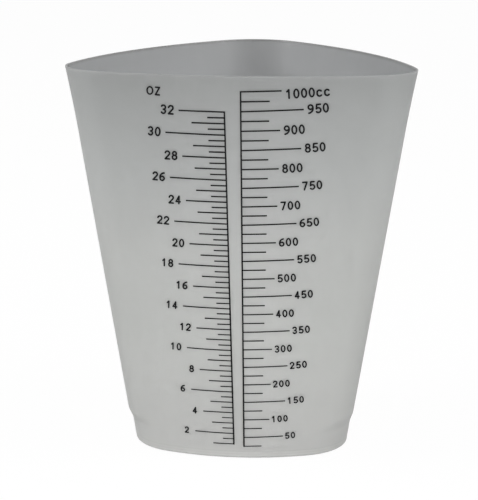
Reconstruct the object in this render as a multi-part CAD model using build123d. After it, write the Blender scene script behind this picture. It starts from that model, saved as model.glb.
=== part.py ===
from build123d import *
from math import atan2, cos, degrees, radians, sin, sqrt, tan
import os

# A three-cornered mixing cup: one thin moulding, with printed ounce and cc scales on its front side.
# The origin is on the base plane at the cup's axis, +Z is up and the printed side faces -Y.

# Driving dimensions of the cup, in millimetres
height = 144.0
wall = 0.9
floor_thickness = 1.3
rim_side_reach = 51.9
rim_side_arc = 154.5
rim_corner_radius = 20.8
base_side_reach = 35.5
base_side_arc = 76.2
base_corner_radius = 14.9
heel_radius = 1.0
floor_corner_radius = 2.0
rim_edge_radius = 0.3

# The corners lean out a little more near the rim, as pouring lips
lip_height = 20.8
lip_flare = 0.58

# The corners are cut back above the base, so that stacked cups come apart again
step_bottom = 8.4
step_rise = 5.6
step_corner_radius_gain = 5.6

# Driving dimensions of the print
ink = 0.1
upright_width = 0.55
mark_width = 0.52
cc_top = 1000
cc_step = 25
cc_per_ounce = 29.5735
ounce_top = 32
top_mark_depth = 5.5
upright_gap = 5.8
short_cc_mark = 10.1
hundred_cc_mark = 14.1
fifty_cc_mark = 22.1
half_ounce_mark = 6.2
ounce_mark = 12.0
fourth_ounce_mark = 16.4
even_ounce_mark = 22.0
cc_numeral_height = 3.55
cc_numeral_gap = 1.1
top_numeral_drop = 1.2
oz_scale_lift = 0.35
oz_numeral_height = 3.6
oz_numeral_gap = 1.4
oz_unit_height = 3.2
oz_unit_reach = 30.7
oz_unit_depth = 6.4

# The print has its full size at its top mark, and shrinks towards a point below the base
print_vanishing_depth = 231.0
print_top_shift = -0.8
print_lean_deg = 0.8
row_tilt_deg = 0.7
row_bow_radius = 468.0

# The marks stand a little too high below the level where this is even, and a little too low above it
print_stretch = 10.0
even_print_share = 0.62

# Numerals and their spacing shrink less than the marks do: shares of the marks' own shrinking
numeral_shrink_share = 0.78
pitch_shrink_share = 0.55

# The three corners stand a third of a turn apart, and the first is this far below the X axis
third_turn_deg = 120
first_corner_deg = 30

# How far cutting bodies run past what they cut
overrun = 1.0


def mix(low, high, share):
    """The value that lies the given share of the way from low to high."""
    return low + (high - low) * share


def side_radius(side_reach, corner_reach, corner_radius):
    """Radius of the side arc that meets a corner arc in line, in a three-cornered section."""
    corner_centre = corner_reach - corner_radius
    top = corner_centre**2 - corner_centre * side_reach + side_reach**2 - corner_radius**2
    return top / (2 * side_reach - 2 * corner_radius - corner_centre)


def corner_reach_for(side_reach, side_arc, corner_radius):
    """How far a corner reaches from the axis, once its radius and the side arcs are given."""
    offset = side_arc - side_reach
    span = (side_arc - corner_radius) ** 2 - offset**2
    return (sqrt(offset**2 + 4 * span) - offset) / 2 + corner_radius


def section_sizes(level):
    """Side reach, corner reach and corner radius of the outer form at a height."""
    share = level / height
    base_corner_reach = corner_reach_for(base_side_reach, base_side_arc, base_corner_radius)
    rim_corner_reach = corner_reach_for(rim_side_reach, rim_side_arc, rim_corner_radius)
    side = mix(base_side_reach, rim_side_reach, share)
    corner = mix(base_corner_reach, rim_corner_reach, share)
    radius = mix(base_corner_radius, rim_corner_radius, share)
    if level > height - lip_height:
        corner += lip_flare * (level - height + lip_height) / lip_height
    if level <= step_bottom:
        arc = side_radius(side, corner, radius)
        radius += step_corner_radius_gain
        corner = corner_reach_for(side, arc, radius)
    return side, corner, radius


def section(level, inset):
    """The rounded triangle at a height, moved inwards by inset, as a face."""
    side_reach, corner_reach, corner_radius = (size - inset for size in section_sizes(level))
    corner_centre = corner_reach - corner_radius
    side_arc = side_radius(side_reach, corner_reach, corner_radius)
    arc_centre_y = side_arc - side_reach
    corner_x = corner_centre * cos(radians(first_corner_deg))
    corner_y = -corner_centre * sin(radians(first_corner_deg))
    half_angle = atan2(corner_x, arc_centre_y - corner_y)
    joint_x = side_arc * sin(half_angle)
    joint_y = arc_centre_y - side_arc * cos(half_angle)
    tip = Vector(corner_reach, 0).rotate(Axis.Z, -first_corner_deg)
    next_joint = Vector(-joint_x, joint_y).rotate(Axis.Z, third_turn_deg)
    side = ThreePointArc((-joint_x, joint_y), (0, -side_reach), (joint_x, joint_y))
    corner = ThreePointArc((joint_x, joint_y), (tip.X, tip.Y), (next_joint.X, next_joint.Y))
    edges = []
    for turn in range(3):
        place = Rotation(0, 0, turn * third_turn_deg)
        edges += [place * side, place * corner]
    return Pos(0, 0, level) * make_face(Wire(edges))


def stage_levels():
    """Heights at which the form of the wall changes."""
    return [0, step_bottom, step_bottom + step_rise, height - lip_height, height]


def outer_form(grow=0.0):
    """The cup as a full block, or the block that stands proud of it by grow."""
    return loft([section(level, -grow) for level in stage_levels()], ruled=True)


def inner_form():
    """What the cup holds: the outer form moved in by the wall, from the floor upwards."""
    levels = [floor_thickness] + stage_levels()[1:]
    hollow = loft([section(level, wall) for level in levels], ruled=True)
    floor_edges = hollow.edges().filter_by_position(Axis.Z, floor_thickness, floor_thickness)
    hollow = fillet(floor_edges, floor_corner_radius)
    mouth = extrude(section(height, wall), amount=overrun)
    return hollow + mouth


def cup_body():
    """The moulding: a thin wall and a flat floor."""
    block = outer_form()
    base_edges = block.edges().filter_by_position(Axis.Z, 0, 0)
    block = fillet(base_edges, heel_radius)
    cup = block - inner_form()
    rim_edges = cup.edges().filter_by_position(Axis.Z, height, height)
    return fillet(rim_edges, rim_edge_radius)


def front_ink_film():
    """A skin over the middle of the cup's front side, which the print is cut out of."""
    print_reach = upright_gap + fifty_cc_mark + len(str(cc_top)) * cc_numeral_height
    front = Pos(0, -rim_side_reach, height / 2) * Box(2 * print_reach, 2 * rim_side_reach, height)
    return (outer_form(ink) & front) - outer_form()


def shrink(level):
    """Size of the print at a height, as a share of its full size."""
    return (level + print_vanishing_depth) / (height - top_mark_depth + print_vanishing_depth)


def row_point(reach, level):
    """A point of a print row, which tilts a little and bows up at its ends."""
    middle = print_top_shift + (height - top_mark_depth - level) * tan(radians(print_lean_deg))
    rise = reach * tan(radians(row_tilt_deg)) + reach**2 / (2 * row_bow_radius)
    return middle + reach, level + rise


def print_point(across, level):
    """Where a point of the scales lies in the front view: across is measured at full size."""
    return row_point(across * shrink(level), level)


def bar(start, end, width):
    """A straight printed line with square ends."""
    line = Vector(*end) - Vector(*start)
    middle = (Vector(*start) + Vector(*end)) / 2
    angle = degrees(atan2(line.Y, line.X))
    return Pos(middle.X, middle.Y) * Rotation(0, 0, angle) * Rectangle(line.length, width)


def mark(side, level, length):
    """One mark of a scale, from its upright outwards; side is -1 or 1."""
    inner = side * upright_gap / 2
    outer = inner + side * length
    return bar(print_point(inner, level), print_point(outer, level), mark_width * shrink(level))


def upright(side, low, high):
    """The long line that the marks of a scale start from."""
    across = side * upright_gap / 2
    half_mark = mark_width / 2
    return bar(print_point(across, low - half_mark), print_point(across, high + half_mark), upright_width)


def cc_level(volume):
    """Height of the line for a volume in cc; the scale starts at the floor and ends below the rim."""
    share = volume / cc_top
    stretch = print_stretch * share * (1 - share) * (even_print_share - share)
    return mix(floor_thickness, height - top_mark_depth, share) + stretch


def ounce_level(ounces):
    """Height of the line for a volume in fluid ounces; the left scale is printed a little higher."""
    level = cc_level(ounces * cc_per_ounce)
    return level + oz_scale_lift * shrink(level)


def cc_mark_length(volume):
    """Every hundred cc has a longer mark, and the fifties between them the longest."""
    if volume % 100 == 0:
        return hundred_cc_mark
    if volume % 50 == 0:
        return fifty_cc_mark
    return short_cc_mark


def ounce_mark_length(halves):
    """Length of a mark by its number of half ounces: every second ounce carries a numeral."""
    if halves % 8 == 0:
        return fourth_ounce_mark
    if halves % 4 == 0:
        return even_ounce_mark
    if halves % 2 == 0:
        return ounce_mark
    return half_ounce_mark


def cc_scale():
    """The right scale: its upright and a mark for every 25 cc."""
    volumes = range(cc_step, cc_top + cc_step, cc_step)
    lines = [mark(1, cc_level(volume), cc_mark_length(volume)) for volume in volumes]
    return printed([upright(1, cc_level(cc_step), cc_level(cc_top)) + lines])


def oz_scale():
    """The left scale: its upright and a mark for every half ounce."""
    halves = range(2, 2 * ounce_top + 1)
    lines = [mark(-1, ounce_level(count / 2), ounce_mark_length(count)) for count in halves]
    return printed([upright(-1, ounce_level(1), ounce_level(ounce_top)) + lines])


# Signs are drawn with a round pen in a box one unit high, so the sizes here are shares of that height
pen_share = 0.18
half_pen_share = pen_share / 2
digit_width_share = 0.62
digit_pitch_share = 0.74
capital_pitch_share = 0.94
left_share = half_pen_share
right_share = digit_width_share - half_pen_share
middle_share = digit_width_share / 2
bottom_share = half_pen_share
top_share = 1 - half_pen_share
stem_share = middle_share + half_pen_share
arch_share = middle_share - left_share
upper_bowl_share = 0.19
lower_bowl_share = (top_share - bottom_share) / 2 - upper_bowl_share
three_bowl_share = (top_share - bottom_share) / 4
one_stem_share = 0.33
one_flag_share = 0.18
four_bar_share = 0.3
five_bowl_share = 0.24
six_back_shares = (0.18, 0.73)
six_tip_shares = (0.5, 0.91)
small_letter_share = 0.76
capital_o_width_share = 0.8


def pen(*edges):
    """The face that a round pen leaves along a path of edges."""
    return make_face(Wire(edges).offset_2d(half_pen_share, kind=Kind.ARC))


def pen_lines(*points):
    """The face that a round pen leaves along straight lines between points."""
    return pen(*Polyline(*points).edges())


def ring(x, y, radius):
    """A circle drawn with the pen."""
    return Pos(x, y) * (Circle(radius + half_pen_share) - Circle(radius - half_pen_share))


def upright_oval(width):
    """A ring as tall as a sign, drawn with the pen, with its box's lower left corner at zero."""
    outer = Ellipse(width / 2, 1 / 2)
    inner = Ellipse(width / 2 - pen_share, 1 / 2 - pen_share)
    return Pos(width / 2, 1 / 2) * (outer - inner)


def sign_0():
    return upright_oval(digit_width_share)


def sign_1():
    flag = (one_stem_share - one_flag_share, top_share - one_flag_share)
    return pen_lines(flag, (one_stem_share, top_share), (one_stem_share, bottom_share))


def sign_2():
    arch = CenterArc((middle_share, top_share - arch_share), arch_share, 170, -205)
    end = arch @ 1
    foot = Polyline((end.X, end.Y), (left_share, bottom_share), (right_share, bottom_share))
    return pen(arch, *foot.edges())


def sign_3():
    upper = CenterArc((middle_share, top_share - three_bowl_share), three_bowl_share, 150, -240)
    lower = CenterArc((middle_share, bottom_share + three_bowl_share), three_bowl_share, 90, -240)
    return pen(upper) + pen(lower)


def sign_4():
    top = (stem_share, top_share)
    wedge = pen_lines(top, (left_share, four_bar_share), (right_share, four_bar_share))
    return wedge + pen_lines(top, (stem_share, bottom_share))


def sign_5():
    bowl = CenterArc((middle_share, bottom_share + five_bowl_share), five_bowl_share, 140, -280)
    start = bowl @ 0
    flag = pen_lines((right_share, top_share), (left_share + half_pen_share, top_share), (start.X, start.Y))
    return flag + pen(bowl)


def sign_6():
    bowl_middle = bottom_share + arch_share
    back = ThreePointArc((left_share, bowl_middle), six_back_shares, six_tip_shares)
    return ring(middle_share, bowl_middle, arch_share) + pen(back)


def sign_7():
    foot = (middle_share - half_pen_share, bottom_share)
    return pen_lines((left_share, top_share), (right_share, top_share), foot)


def sign_8():
    lower = ring(middle_share, bottom_share + lower_bowl_share, lower_bowl_share)
    upper = ring(middle_share, top_share - upper_bowl_share, upper_bowl_share)
    return lower + upper


def sign_9():
    return Pos(digit_width_share, 1) * Rotation(0, 0, 180) * sign_6()


def sign_c():
    upper_middle = small_letter_share - half_pen_share - arch_share
    upper = CenterArc((middle_share, upper_middle), arch_share, 40, 140)
    lower = CenterArc((middle_share, bottom_share + arch_share), arch_share, 180, 140)
    start, end = upper @ 1, lower @ 0
    return pen(upper, Line((start.X, start.Y), (end.X, end.Y)), lower)


def sign_o():
    return upright_oval(capital_o_width_share)


def sign_z():
    high_left, high_right = (left_share, top_share), (right_share, top_share)
    return pen_lines(high_left, high_right, (left_share, bottom_share), (right_share, bottom_share))


signs = {
    "0": sign_0(), "1": sign_1(), "2": sign_2(), "3": sign_3(), "4": sign_4(), "5": sign_5(), "6": sign_6(),
    "7": sign_7(), "8": sign_8(), "9": sign_9(), "c": sign_c(), "O": sign_o(), "Z": sign_z(),
}


def written(text, start, level, size, side, pitch_share=digit_pitch_share):
    """Signs in a row, from start outwards, centred on a print row; side is -1 or 1."""
    scaled = size * mix(1, shrink(level), numeral_shrink_share)
    pitch = size * pitch_share * mix(1, shrink(level), pitch_shrink_share)
    first = start - pitch * len(text) if side < 0 else start
    out = []
    for index, letter in enumerate(text):
        reach = first + pitch * (index + 1 / 2)
        x, z = row_point(reach, level)
        angle = row_tilt_deg + degrees(reach / row_bow_radius)
        flat = scale(Pos(-middle_share, -1 / 2) * signs[letter], by=scaled, about=(0, 0))
        out.append(Pos(x, z) * Rotation(0, 0, angle) * flat)
    return out


def printed(artwork):
    """Presses flat shapes of the front view onto the front side, as a film of ink."""
    faces = [face for shape in artwork for face in shape.faces()]
    blocks = [extrude(Plane.XZ * face, amount=rim_side_reach + overrun) for face in faces]
    film = [ink_film & block for block in blocks]
    return Compound([solid for shape in film for solid in shape.solids()])


def cc_text(text, volume, drop=0.0):
    """Signs at the end of the mark for a volume."""
    level = cc_level(volume)
    gap = cc_numeral_gap * shrink(level) ** 2
    start = shrink(level) * (upright_gap / 2 + cc_mark_length(volume)) + gap
    return written(text, start, level - drop, cc_numeral_height, 1)


def cc_numerals():
    """The numbers that stand at the ends of the marks for every 50 cc; the top one stands lower."""
    out = cc_text(str(cc_top), cc_top, top_numeral_drop)
    for volume in range(2 * cc_step, cc_top, 2 * cc_step):
        out += cc_text(str(volume), volume)
    return printed(out)


def oz_numerals():
    """The numbers that stand at the ends of the marks for every second ounce."""
    out = []
    for ounces in range(2, ounce_top + 1, 2):
        level = ounce_level(ounces)
        gap = oz_numeral_gap / shrink(level)
        start = -shrink(level) * (upright_gap / 2 + ounce_mark_length(2 * ounces)) - gap
        out += written(str(ounces), start, level, oz_numeral_height, -1)
    return printed(out)


def cc_unit_mark():
    """The unit letters that follow the top number of the right scale."""
    number = str(cc_top)
    signs_after = cc_text(number + "cc", cc_top, top_numeral_drop)[len(number):]
    return printed(signs_after)


def oz_unit_mark():
    """The unit letters above the left scale."""
    level = height - oz_unit_depth
    return printed(written("OZ", -oz_unit_reach, level, oz_unit_height, 1, capital_pitch_share))


ink_film = front_ink_film()

os.makedirs("parts", exist_ok=True)
export_step(cup_body(), "parts/cup_body.step")
export_step(cc_scale(), "parts/cc_scale.step")
export_step(oz_scale(), "parts/oz_scale.step")
export_step(cc_numerals(), "parts/cc_numerals.step")
export_step(oz_numerals(), "parts/oz_numerals.step")
export_step(cc_unit_mark(), "parts/cc_unit_mark.step")
export_step(oz_unit_mark(), "parts/oz_unit_mark.step")
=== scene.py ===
import math
import bpy
from mathutils import Matrix, Vector


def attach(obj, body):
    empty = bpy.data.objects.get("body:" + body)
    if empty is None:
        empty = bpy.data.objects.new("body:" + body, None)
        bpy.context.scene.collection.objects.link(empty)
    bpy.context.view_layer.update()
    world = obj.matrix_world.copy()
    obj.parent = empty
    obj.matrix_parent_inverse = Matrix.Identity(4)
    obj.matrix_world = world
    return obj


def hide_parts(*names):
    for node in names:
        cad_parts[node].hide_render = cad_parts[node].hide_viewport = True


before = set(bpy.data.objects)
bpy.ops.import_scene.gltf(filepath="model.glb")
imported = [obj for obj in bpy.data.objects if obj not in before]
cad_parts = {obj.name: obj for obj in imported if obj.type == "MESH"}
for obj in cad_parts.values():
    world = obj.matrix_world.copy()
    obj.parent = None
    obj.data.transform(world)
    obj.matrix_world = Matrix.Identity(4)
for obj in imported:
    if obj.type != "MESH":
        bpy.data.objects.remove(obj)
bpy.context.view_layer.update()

# Sizes of the moulding, in metres: the same ones that the CAD model has
HEIGHT = 0.144
WALL = 0.0009
FLOOR_THICKNESS = 0.0013
RIM_SIDE_REACH = 0.0519
RIM_SIDE_ARC = 0.1545
RIM_CORNER_RADIUS = 0.0208
BASE_SIDE_REACH = 0.0355
BASE_SIDE_ARC = 0.0762
BASE_CORNER_RADIUS = 0.0149
HEEL_RADIUS = 0.001
FLOOR_CORNER_RADIUS = 0.002
RIM_EDGE_RADIUS = 0.0003
LIP_HEIGHT = 0.0208
LIP_FLARE = 0.00058
LIP_FLARE_POWER = 1.5
STEP_BOTTOM = 0.0084
STEP_RISE = 0.0056
STEP_CORNER_RADIUS_GAIN = 0.0056

# Painted shade: the rim is darker down to this depth on its inside, and by this share of that on its
# outside
RIM_SHADE_DEPTH = 0.0012
OUTER_RIM_SHARE = 0.3

# How finely the moulding is divided
SIDE_PARTS = 48
CORNER_PARTS = 24
ROUND_PARTS = 6
CLOSING_PARTS = 8
WALL_SPACING = 0.003
STEP_SPACING = 0.0006

# The mesh is finer than the CAD model, and this keeps it inside that model's box
SKIN = 0.00002

# The camera, found from the photograph
CAMERA_DISTANCE = 0.64708
CAMERA_HEIGHT = 0.2193
CAMERA_SIDEWAYS = -0.002233
CAMERA_TURN = -0.0802
CAMERA_PITCH = 0.2253
CAMERA_ROLL = -0.0057
FOCAL_PIXELS = 1741.2
IMAGE_HEIGHT = 500
SENSOR_HEIGHT = 24.0

# Most values of a noise lie in this range. Then the detail of the streaks, and the detail and the
# roughness of the satin and of the grain
NOISE_RANGE = (0.3, 0.7)
STREAK_DETAIL = 3
SATIN_NOISE = (4, 0.6)
GRAIN_NOISE = (3, 0.6)

# The plastic: colours from base to rim, with painted shade that darkens it towards the rim
PLASTIC_PAINTED_SHADE_STOPS = (
    (0.0, (0.518, 0.52, 0.506)),
    (0.12, (0.484, 0.488, 0.473)),
    (0.33, (0.461, 0.469, 0.453)),
    (0.55, (0.412, 0.419, 0.407)),
    (0.74, (0.346, 0.355, 0.349)),
    (0.9, (0.279, 0.287, 0.283)),
    (1.0, (0.235, 0.242, 0.239)),
)
# Painted shade: faint darker lines round the base, at these heights, where the floor's edge and the heel
# show through
PAINTED_SHADE_LINE_LEVELS = (0.0006, 0.0017, 0.0028)
BASE_LINE_HALF_WIDTH = 0.0004
PAINTED_SHADE_LINE_GAIN = 0.93
# Clouds and streaks per metre, and how the inside (bluer), the rim (painted shade) and the floor and
# underside (painted light) differ from the wall
CLOUD_SCALE = 25
CLOUD_SHARE = 0.02
STREAK_STRETCH = (1, 1, 0.15)
STREAK_SCALE = 140
STREAK_SHARE = 0.01
INSIDE_TINT = (0.975, 0.972, 1.0)
RIM_PAINTED_SHADE_GAIN = 0.5
FLOOR_PAINTED_LIGHT_GAIN = 1.4
# The plastic's surface and the light that wanders below it
SATIN_SCALE = 300
PLASTIC_ROUGHNESS = (0.42, 0.52)
RIM_ROUGHNESS_SHARE = 0.65
BUMP_SCALE = 1500
BUMP_DEPTH = 0.00002
BUMP_STRENGTH = 0.3
PLASTIC_IOR = 1.5
PLASTIC_SPECULAR = 0.4
COAT_ROUGHNESS = 0.4
COAT_IOR = 1.05
COAT_TINT = (0.88, 0.88, 0.88)
MILKINESS = 1.0
LIGHT_REACH = 0.006

# The ink: colours and roughness by how well it covers
INK_STOPS = ((0.3, (0.004, 0.004, 0.004)), (0.7, (0.014, 0.014, 0.015)))
INK_GRAIN_SCALE = 900
INK_ROUGHNESS = (0.45, 0.6)
INK_SPECULAR = 0.1

# The floor, the world and the lamps: name, place, size, watts and whether the cup mirrors the lamp.
# The two low lamps stand for the light that a white table throws up at the front
FLOOR_REACH = 3.0
FLOOR_DROP = 0.0004
FLOOR_COLOUR = (0.9, 0.9, 0.9)
FLOOR_GLOW_SHARE = 0.965
WORLD_LIGHT = 0.5
LAMPS = (
    ("left", (-1.0, -0.1, 0.7), (0.6, 0.6), 7.9, True),
    ("right", (1.0, -0.1, 0.7), (0.6, 0.6), 5.9, True),
    ("front", (0.005, -0.22, 0.035), (0.24, 0.06), 0.15, True),
    ("table", (0.02, -0.22, 0.03), (0.16, 0.04), 0.105, False),
)


def mix(low, high, share):
    """The value that lies the given share of the way from low to high."""
    return low + (high - low) * share


def smooth(share):
    """A share from 0 to 1, eased at both ends."""
    share = min(max(share, 0), 1)
    return share * share * (3 - 2 * share)


def side_radius(side_reach, corner_reach, corner_radius):
    """Radius of the side arc that meets a corner arc in line."""
    centre = corner_reach - corner_radius
    top = centre**2 - centre * side_reach + side_reach**2 - corner_radius**2
    return top / (2 * side_reach - 2 * corner_radius - centre)


def corner_reach_for(side_reach, side_arc, corner_radius):
    """How far a corner reaches from the axis."""
    offset = side_arc - side_reach
    span = (side_arc - corner_radius) ** 2 - offset**2
    return (math.sqrt(offset**2 + 4 * span) - offset) / 2 + corner_radius


def section_sizes(level):
    """Side reach, corner reach and corner radius of the outer form at a height."""
    share = level / HEIGHT
    base_corner = corner_reach_for(BASE_SIDE_REACH, BASE_SIDE_ARC, BASE_CORNER_RADIUS)
    rim_corner = corner_reach_for(RIM_SIDE_REACH, RIM_SIDE_ARC, RIM_CORNER_RADIUS)
    side = mix(BASE_SIDE_REACH, RIM_SIDE_REACH, share)
    corner = mix(base_corner, rim_corner, share)
    radius = mix(BASE_CORNER_RADIUS, RIM_CORNER_RADIUS, share)
    lip_share = max(level - HEIGHT + LIP_HEIGHT, 0) / LIP_HEIGHT
    corner += LIP_FLARE * lip_share**LIP_FLARE_POWER
    cut_share = 1 - smooth((level - STEP_BOTTOM) / STEP_RISE)
    arc = side_radius(side, corner, radius)
    radius += STEP_CORNER_RADIUS_GAIN * cut_share
    return side, corner_reach_for(side, arc, radius), radius


def section_points(level, inset):
    """Points of the rounded triangle at a height, moved inwards by inset."""
    side, corner, radius = (size - inset - SKIN for size in section_sizes(level))
    centre = corner - radius
    arc = side_radius(side, corner, radius)
    third, twelfth = math.tau / 3, math.tau / 12
    corner_x, corner_y = centre * math.cos(twelfth), -centre * math.sin(twelfth)
    half = math.atan2(corner_x, arc - side - corner_y)
    one = []
    for step in range(SIDE_PARTS):
        angle = mix(-half, half, step / SIDE_PARTS)
        one.append((arc * math.sin(angle), arc - side - arc * math.cos(angle)))
    for step in range(CORNER_PARTS):
        angle = mix(half, third - half, step / CORNER_PARTS)
        one.append((corner_x + radius * math.sin(angle), corner_y - radius * math.cos(angle)))
    points = []
    for turn in range(3):
        cosine, sine = math.cos(turn * third), math.sin(turn * third)
        points += [Vector((x * cosine - y * sine, x * sine + y * cosine, level)) for x, y in one]
    return points


def levels_between(low, high, spacing):
    """Heights from low up to but not including high, about spacing apart."""
    count = max(round((high - low) / spacing), 1)
    return [mix(low, high, step / count) for step in range(count)]


def wall_levels(low, high):
    """Heights along a wall, closer together at the step above the base."""
    step_low, step_high = STEP_BOTTOM - STEP_SPACING, STEP_BOTTOM + STEP_RISE + STEP_SPACING
    return (
        levels_between(low, step_low, WALL_SPACING)
        + levels_between(step_low, step_high, STEP_SPACING)
        + levels_between(step_high, high, WALL_SPACING)
        + [high]
    )


def quarter_turn():
    """Shares of a radius still to go one way and gone the other, along a rounded edge."""
    angles = [math.pi / 2 * step / ROUND_PARTS for step in range(1, ROUND_PARTS + 1)]
    return [(1 - math.sin(angle), 1 - math.cos(angle)) for angle in angles]


def cup_rings():
    """Rings of points: up the base and outside, over the rim, and down the inside to the floor."""
    turn = quarter_turn()
    edge, corner = RIM_EDGE_RADIUS, FLOOR_CORNER_RADIUS
    outside = [section_points(0, HEEL_RADIUS)]
    outside += [section_points(HEEL_RADIUS * gone, HEEL_RADIUS * rest) for rest, gone in turn]
    outside += [section_points(level, 0) for level in wall_levels(HEEL_RADIUS, HEIGHT - edge)[1:]]
    rim = [section_points(HEIGHT - edge * rest, edge * gone) for rest, gone in turn]
    rim += [section_points(HEIGHT - edge * gone, WALL - edge * rest) for rest, gone in turn]
    inside = [section_points(HEIGHT - RIM_SHADE_DEPTH, WALL)]
    levels = wall_levels(FLOOR_THICKNESS + corner, HEIGHT - edge)[:-1]
    inside += [section_points(level, WALL) for level in reversed(levels)]
    inside += [section_points(FLOOR_THICKNESS + corner * rest, WALL + corner * gone) for rest, gone in turn]
    return outside, rim, inside


def closing_rings(ring):
    """Smaller copies of a ring, towards its middle, and that middle."""
    middle = sum(ring, Vector()) / len(ring)
    shares = [1 - step / CLOSING_PARTS for step in range(1, CLOSING_PARTS)]
    return [[middle + (point - middle) * share for point in ring] for share in shares], middle


def ring_faces(rows, count):
    """Faces between neighbouring rings, and fans to the two middle points that follow the rings."""
    faces = []
    last = (rows - 1) * count
    for low in range(0, last, count):
        for step in range(count):
            following = (step + 1) % count
            faces.append((low + step, low + following, low + count + following, low + count + step))
    for step in range(count):
        following = (step + 1) % count
        faces.append((rows * count, following, step))
        faces.append((rows * count + 1, last + step, last + following))
    return faces


def mark_points(mesh, name, lengths, values):
    """Keeps a number with each point for the material to read, the same along a stretch of points."""
    points = [float(value) for length, value in zip(lengths, values) for _ in range(length)]
    mesh.attributes.new(name, "FLOAT", "POINT").data.foreach_set("value", points)


def cup_mesh():
    """The moulding as one closed mesh, which tells its material where rim, inside and floor are."""
    outside, rim, inside = cup_rings()
    underside, base_middle = closing_rings(outside[0])
    floor, floor_middle = closing_rings(inside[-1])
    rings = list(reversed(underside)) + outside + rim + inside + floor
    count = len(rings[0])
    points = [point for ring in rings for point in ring] + [base_middle, floor_middle]
    mesh = bpy.data.meshes.new("moulded_cup")
    mesh.from_pydata(points, [], ring_faces(len(rings), count))
    mesh.shade_smooth()
    # Underside, outside, outer and inner half of the rim, inside, floor, and the two middle points
    stretches = (len(underside), len(outside), ROUND_PARTS, ROUND_PARTS, len(inside), len(floor))
    lengths = [rows * count for rows in stretches] + [1, 1]
    mark_points(mesh, "rim", lengths, (0, 0, OUTER_RIM_SHARE, 1, 0, 0, 0, 0))
    mark_points(mesh, "inside", lengths, (0, 0, 0, 0, 1, 1, 0, 1))
    mark_points(mesh, "floor", lengths, (1, 0, 0, 0, 0, 1, 1, 1))
    return mesh


def new_material(name):
    """A material with its node tree and its Principled shader."""
    material = bpy.data.materials.new(name)
    material.use_nodes = True
    tree = material.node_tree
    return material, tree, tree.nodes["Principled BSDF"]


def node(tree, kind, **settings):
    """A new node; a setting is a socket's value if the node has such a socket, and else a property."""
    made = tree.nodes.new(kind)
    for name, value in settings.items():
        label = name.replace("_", " ").title()
        if label in made.inputs:
            made.inputs[label].default_value = value
        else:
            setattr(made, name, value)
    return made


def set_inputs(shader, values):
    """Sets a shader's sockets by their names."""
    for name, value in values.items():
        shader.inputs[name].default_value = value


def place_on_object(tree, stretch=(1, 1, 1)):
    """The point on the object in metres, stretched along its axes."""
    place = node(tree, "ShaderNodeTexCoord")
    mapping = node(tree, "ShaderNodeMapping", scale=stretch)
    tree.links.new(place.outputs["Object"], mapping.inputs["Vector"])
    return mapping.outputs["Vector"]


def noise(tree, place, scale, detail=2, roughness=0.5):
    """Cloudy noise from 0 to 1 at a number of blobs per metre."""
    made = node(tree, "ShaderNodeTexNoise", scale=scale, detail=detail, roughness=roughness)
    tree.links.new(place, made.inputs["Vector"])
    return made.outputs["Fac"]


def spread(tree, value, low, high, from_low=0.0, from_high=1.0):
    """A value moved from one range to another."""
    made = node(tree, "ShaderNodeMapRange", from_min=from_low, from_max=from_high, to_min=low, to_max=high)
    tree.links.new(value, made.inputs["Value"])
    return made.outputs["Result"]


def ramp(tree, value, stops):
    """Colours by value, from (value, colour) pairs."""
    made = node(tree, "ShaderNodeValToRGB")
    elements = made.color_ramp.elements
    while len(elements) < len(stops):
        elements.new(0.5)
    for element, (position, colour) in zip(elements, stops):
        element.position = position
        element.color = (*colour, 1)
    tree.links.new(value, made.inputs["Fac"])
    return made.outputs["Color"]


def shade(tree, colour, factor):
    """A colour times a factor."""
    made = node(tree, "ShaderNodeVectorMath", operation="SCALE")
    tree.links.new(colour, made.inputs[0])
    tree.links.new(factor, made.inputs["Scale"])
    return made.outputs["Vector"]


def tint(tree, colour, other):
    """A colour times another colour."""
    made = node(tree, "ShaderNodeVectorMath", operation="MULTIPLY")
    tree.links.new(colour, made.inputs[0])
    tree.links.new(other, made.inputs[1])
    return made.outputs["Vector"]


def combined(tree, operation, values):
    """Two or more values joined by one kind of math node."""
    total = values[0]
    for value in values[1:]:
        both = node(tree, "ShaderNodeMath", operation=operation)
        tree.links.new(total, both.inputs[0])
        tree.links.new(value, both.inputs[1])
        total = both.outputs["Value"]
    return total


def wavering(tree, value, share):
    """A factor that a noise moves up and down from 1 by a share."""
    return spread(tree, value, 1 - share, 1 + share, *NOISE_RANGE)


def painted_shade_lines(tree, level):
    """A factor that is a little lower along the faint lines round the base, as painted shade."""
    gains = []
    for line in PAINTED_SHADE_LINE_LEVELS:
        distance = node(tree, "ShaderNodeMath", operation="SUBTRACT")
        tree.links.new(level, distance.inputs[0])
        distance.inputs[1].default_value = line
        size = node(tree, "ShaderNodeMath", operation="ABSOLUTE")
        tree.links.new(distance.outputs["Value"], size.inputs[0])
        gains.append(spread(tree, size.outputs["Value"], PAINTED_SHADE_LINE_GAIN, 1, 0, BASE_LINE_HALF_WIDTH))
    return combined(tree, "MULTIPLY", gains)


def kept_number(tree, name, low, high):
    """A number kept with the mesh's points, spread from low to high."""
    return spread(tree, node(tree, "ShaderNodeAttribute", attribute_name=name).outputs["Fac"], low, high)


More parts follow.
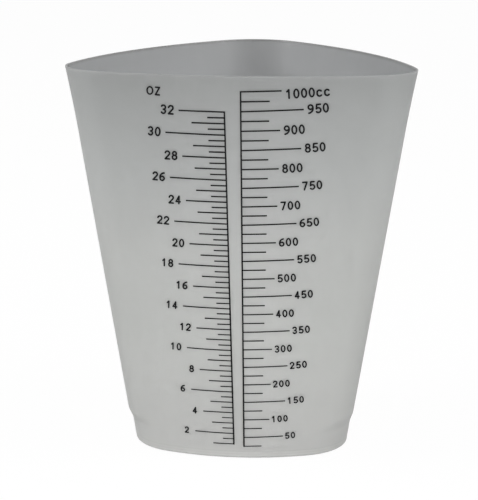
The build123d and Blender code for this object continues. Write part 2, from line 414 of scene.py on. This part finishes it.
def plastic_colour(tree, place):
    """Painted shade towards and at the rim, bluer inside, painted light on floor and underside, painted
    shade lines at the base, faint flow marks.
    """
    axes = node(tree, "ShaderNodeSeparateXYZ")
    tree.links.new(place, axes.inputs["Vector"])
    level = axes.outputs["Z"]
    inside = ramp(tree, kept_number(tree, "inside", 0, 1), ((0, (1, 1, 1)), (1, INSIDE_TINT)))
    # Painted shade: the colour darkens with height towards the rim
    colour = tint(tree, ramp(tree, spread(tree, level, 0, 1, 0, HEIGHT), PLASTIC_PAINTED_SHADE_STOPS), inside)
    streaks = noise(tree, place_on_object(tree, STREAK_STRETCH), STREAK_SCALE, STREAK_DETAIL)
    factors = [
        wavering(tree, noise(tree, place, CLOUD_SCALE), CLOUD_SHARE),
        wavering(tree, streaks, STREAK_SHARE),
        # Painted shade on the rim
        kept_number(tree, "rim", 1, RIM_PAINTED_SHADE_GAIN),
        # Painted shade lines round the base
        painted_shade_lines(tree, level),
        # Painted light on the floor and the underside
        kept_number(tree, "floor", 1, FLOOR_PAINTED_LIGHT_GAIN),
    ]
    return shade(tree, colour, combined(tree, "MULTIPLY", factors))


def plastic():
    """Milky natural plastic with a satin finish, a little smoother at the rim."""
    material, tree, shader = new_material("natural_plastic")
    place = place_on_object(tree)
    tree.links.new(plastic_colour(tree, place), shader.inputs["Base Color"])
    satin = spread(tree, noise(tree, place, SATIN_SCALE, *SATIN_NOISE), *PLASTIC_ROUGHNESS, *NOISE_RANGE)
    polish = kept_number(tree, "rim", 1, RIM_ROUGHNESS_SHARE)
    tree.links.new(combined(tree, "MULTIPLY", [satin, polish]), shader.inputs["Roughness"])
    bump = node(tree, "ShaderNodeBump", strength=BUMP_STRENGTH, distance=BUMP_DEPTH)
    tree.links.new(noise(tree, place, BUMP_SCALE, *GRAIN_NOISE), bump.inputs["Height"])
    tree.links.new(bump.outputs["Normal"], shader.inputs["Normal"])
    values = {
        "IOR": PLASTIC_IOR,
        "Specular IOR Level": PLASTIC_SPECULAR,
        "Coat Weight": 1,
        "Coat Roughness": COAT_ROUGHNESS,
        "Coat IOR": COAT_IOR,
        "Coat Tint": (*COAT_TINT, 1),
        "Subsurface Weight": MILKINESS,
        "Subsurface Radius": (1, 1, 1),
        "Subsurface Scale": LIGHT_REACH,
    }
    set_inputs(shader, values)
    return material


def ink():
    """Black printed ink with the slightly uneven cover of a print on plastic."""
    material, tree, shader = new_material("black_ink")
    cover = noise(tree, place_on_object(tree), INK_GRAIN_SCALE, *GRAIN_NOISE)
    tree.links.new(ramp(tree, cover, INK_STOPS), shader.inputs["Base Color"])
    tree.links.new(spread(tree, cover, *INK_ROUGHNESS, *NOISE_RANGE), shader.inputs["Roughness"])
    set_inputs(shader, {"Specular IOR Level": INK_SPECULAR})
    return material


def add_cup():
    """The moulding, and the ink on the printed CAD pieces."""
    cup = bpy.data.objects.new("moulded_cup", cup_mesh())
    bpy.context.scene.collection.objects.link(cup)
    cup.data.materials.append(plastic())
    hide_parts("cup_body")
    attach(cup, "root")
    black = ink()
    for name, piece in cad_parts.items():
        if name != "cup_body":
            piece.data.materials.clear()
            piece.data.materials.append(black)


def add_camera():
    """The photograph's view."""
    data = bpy.data.cameras.new("camera")
    data.sensor_fit = "VERTICAL"
    data.sensor_height = SENSOR_HEIGHT
    data.lens = FOCAL_PIXELS / IMAGE_HEIGHT * SENSOR_HEIGHT
    camera = bpy.data.objects.new("camera", data)
    bpy.context.scene.collection.objects.link(camera)
    turn = Matrix.Rotation(-CAMERA_TURN, 4, "Z")
    place = Matrix.Translation((CAMERA_SIDEWAYS, -CAMERA_DISTANCE, CAMERA_HEIGHT))
    look = Matrix.Rotation(math.pi / 2 - CAMERA_PITCH, 4, "X")
    roll = Matrix.Rotation(-CAMERA_ROLL, 4, "Z")
    camera.matrix_world = turn @ place @ look @ roll
    bpy.context.scene.camera = camera


def seen_directly(tree):
    """1 for the rays that show a background: camera, glossy and transmission rays."""
    rays = node(tree, "ShaderNodeLightPath")
    kinds = ("Is Camera Ray", "Is Glossy Ray", "Is Transmission Ray")
    return combined(tree, "MAXIMUM", [rays.outputs[kind] for kind in kinds])


def add_floor():
    """A plain floor that shows white and keeps a faint shadow, just clear of the base."""
    mesh = bpy.data.meshes.new("floor")
    corners = ((-1, -1), (1, -1), (1, 1), (-1, 1))
    places = [(x * FLOOR_REACH, y * FLOOR_REACH, -FLOOR_DROP) for x, y in corners]
    mesh.from_pydata(places, [], [(0, 1, 2, 3)])
    floor = bpy.data.objects.new("floor", mesh)
    bpy.context.scene.collection.objects.link(floor)
    material, tree, shader = new_material("floor")
    set_inputs(shader, {"Base Color": (*FLOOR_COLOUR, 1), "Roughness": 1, "Specular IOR Level": 0})
    glow = node(tree, "ShaderNodeEmission")
    blend = node(tree, "ShaderNodeMixShader")
    share = spread(tree, seen_directly(tree), 0, FLOOR_GLOW_SHARE)
    tree.links.new(share, blend.inputs["Fac"])
    tree.links.new(shader.outputs["BSDF"], blend.inputs[1])
    tree.links.new(glow.outputs["Emission"], blend.inputs[2])
    tree.links.new(blend.outputs["Shader"], tree.nodes["Material Output"].inputs["Surface"])
    mesh.materials.append(material)


def add_world():
    """Even soft light all round, seen as white."""
    world = bpy.data.worlds.new("world")
    bpy.context.scene.world = world
    world.use_nodes = True
    tree = world.node_tree
    background = tree.nodes["Background"]
    tree.links.new(spread(tree, seen_directly(tree), WORLD_LIGHT, 1), background.inputs["Strength"])
    background.inputs["Color"].default_value = (1, 1, 1, 1)


def add_light(name, place, size, watts, mirrored):
    """A soft rectangular lamp aimed at the middle of the cup."""
    data = bpy.data.lights.new(name, "AREA")
    data.shape = "RECTANGLE"
    data.size, data.size_y = size
    data.energy = watts
    light = bpy.data.objects.new(name, data)
    bpy.context.scene.collection.objects.link(light)
    light.location = place
    aim = Vector((0, 0, HEIGHT / 2)) - light.location
    light.rotation_euler = aim.to_track_quat("-Z", "Y").to_euler()
    light.visible_glossy = mirrored


add_cup()
add_camera()
add_floor()
add_world()
for lamp in LAMPS:
    add_light(*lamp)
bpy.context.scene.view_settings.view_transform = "Standard"
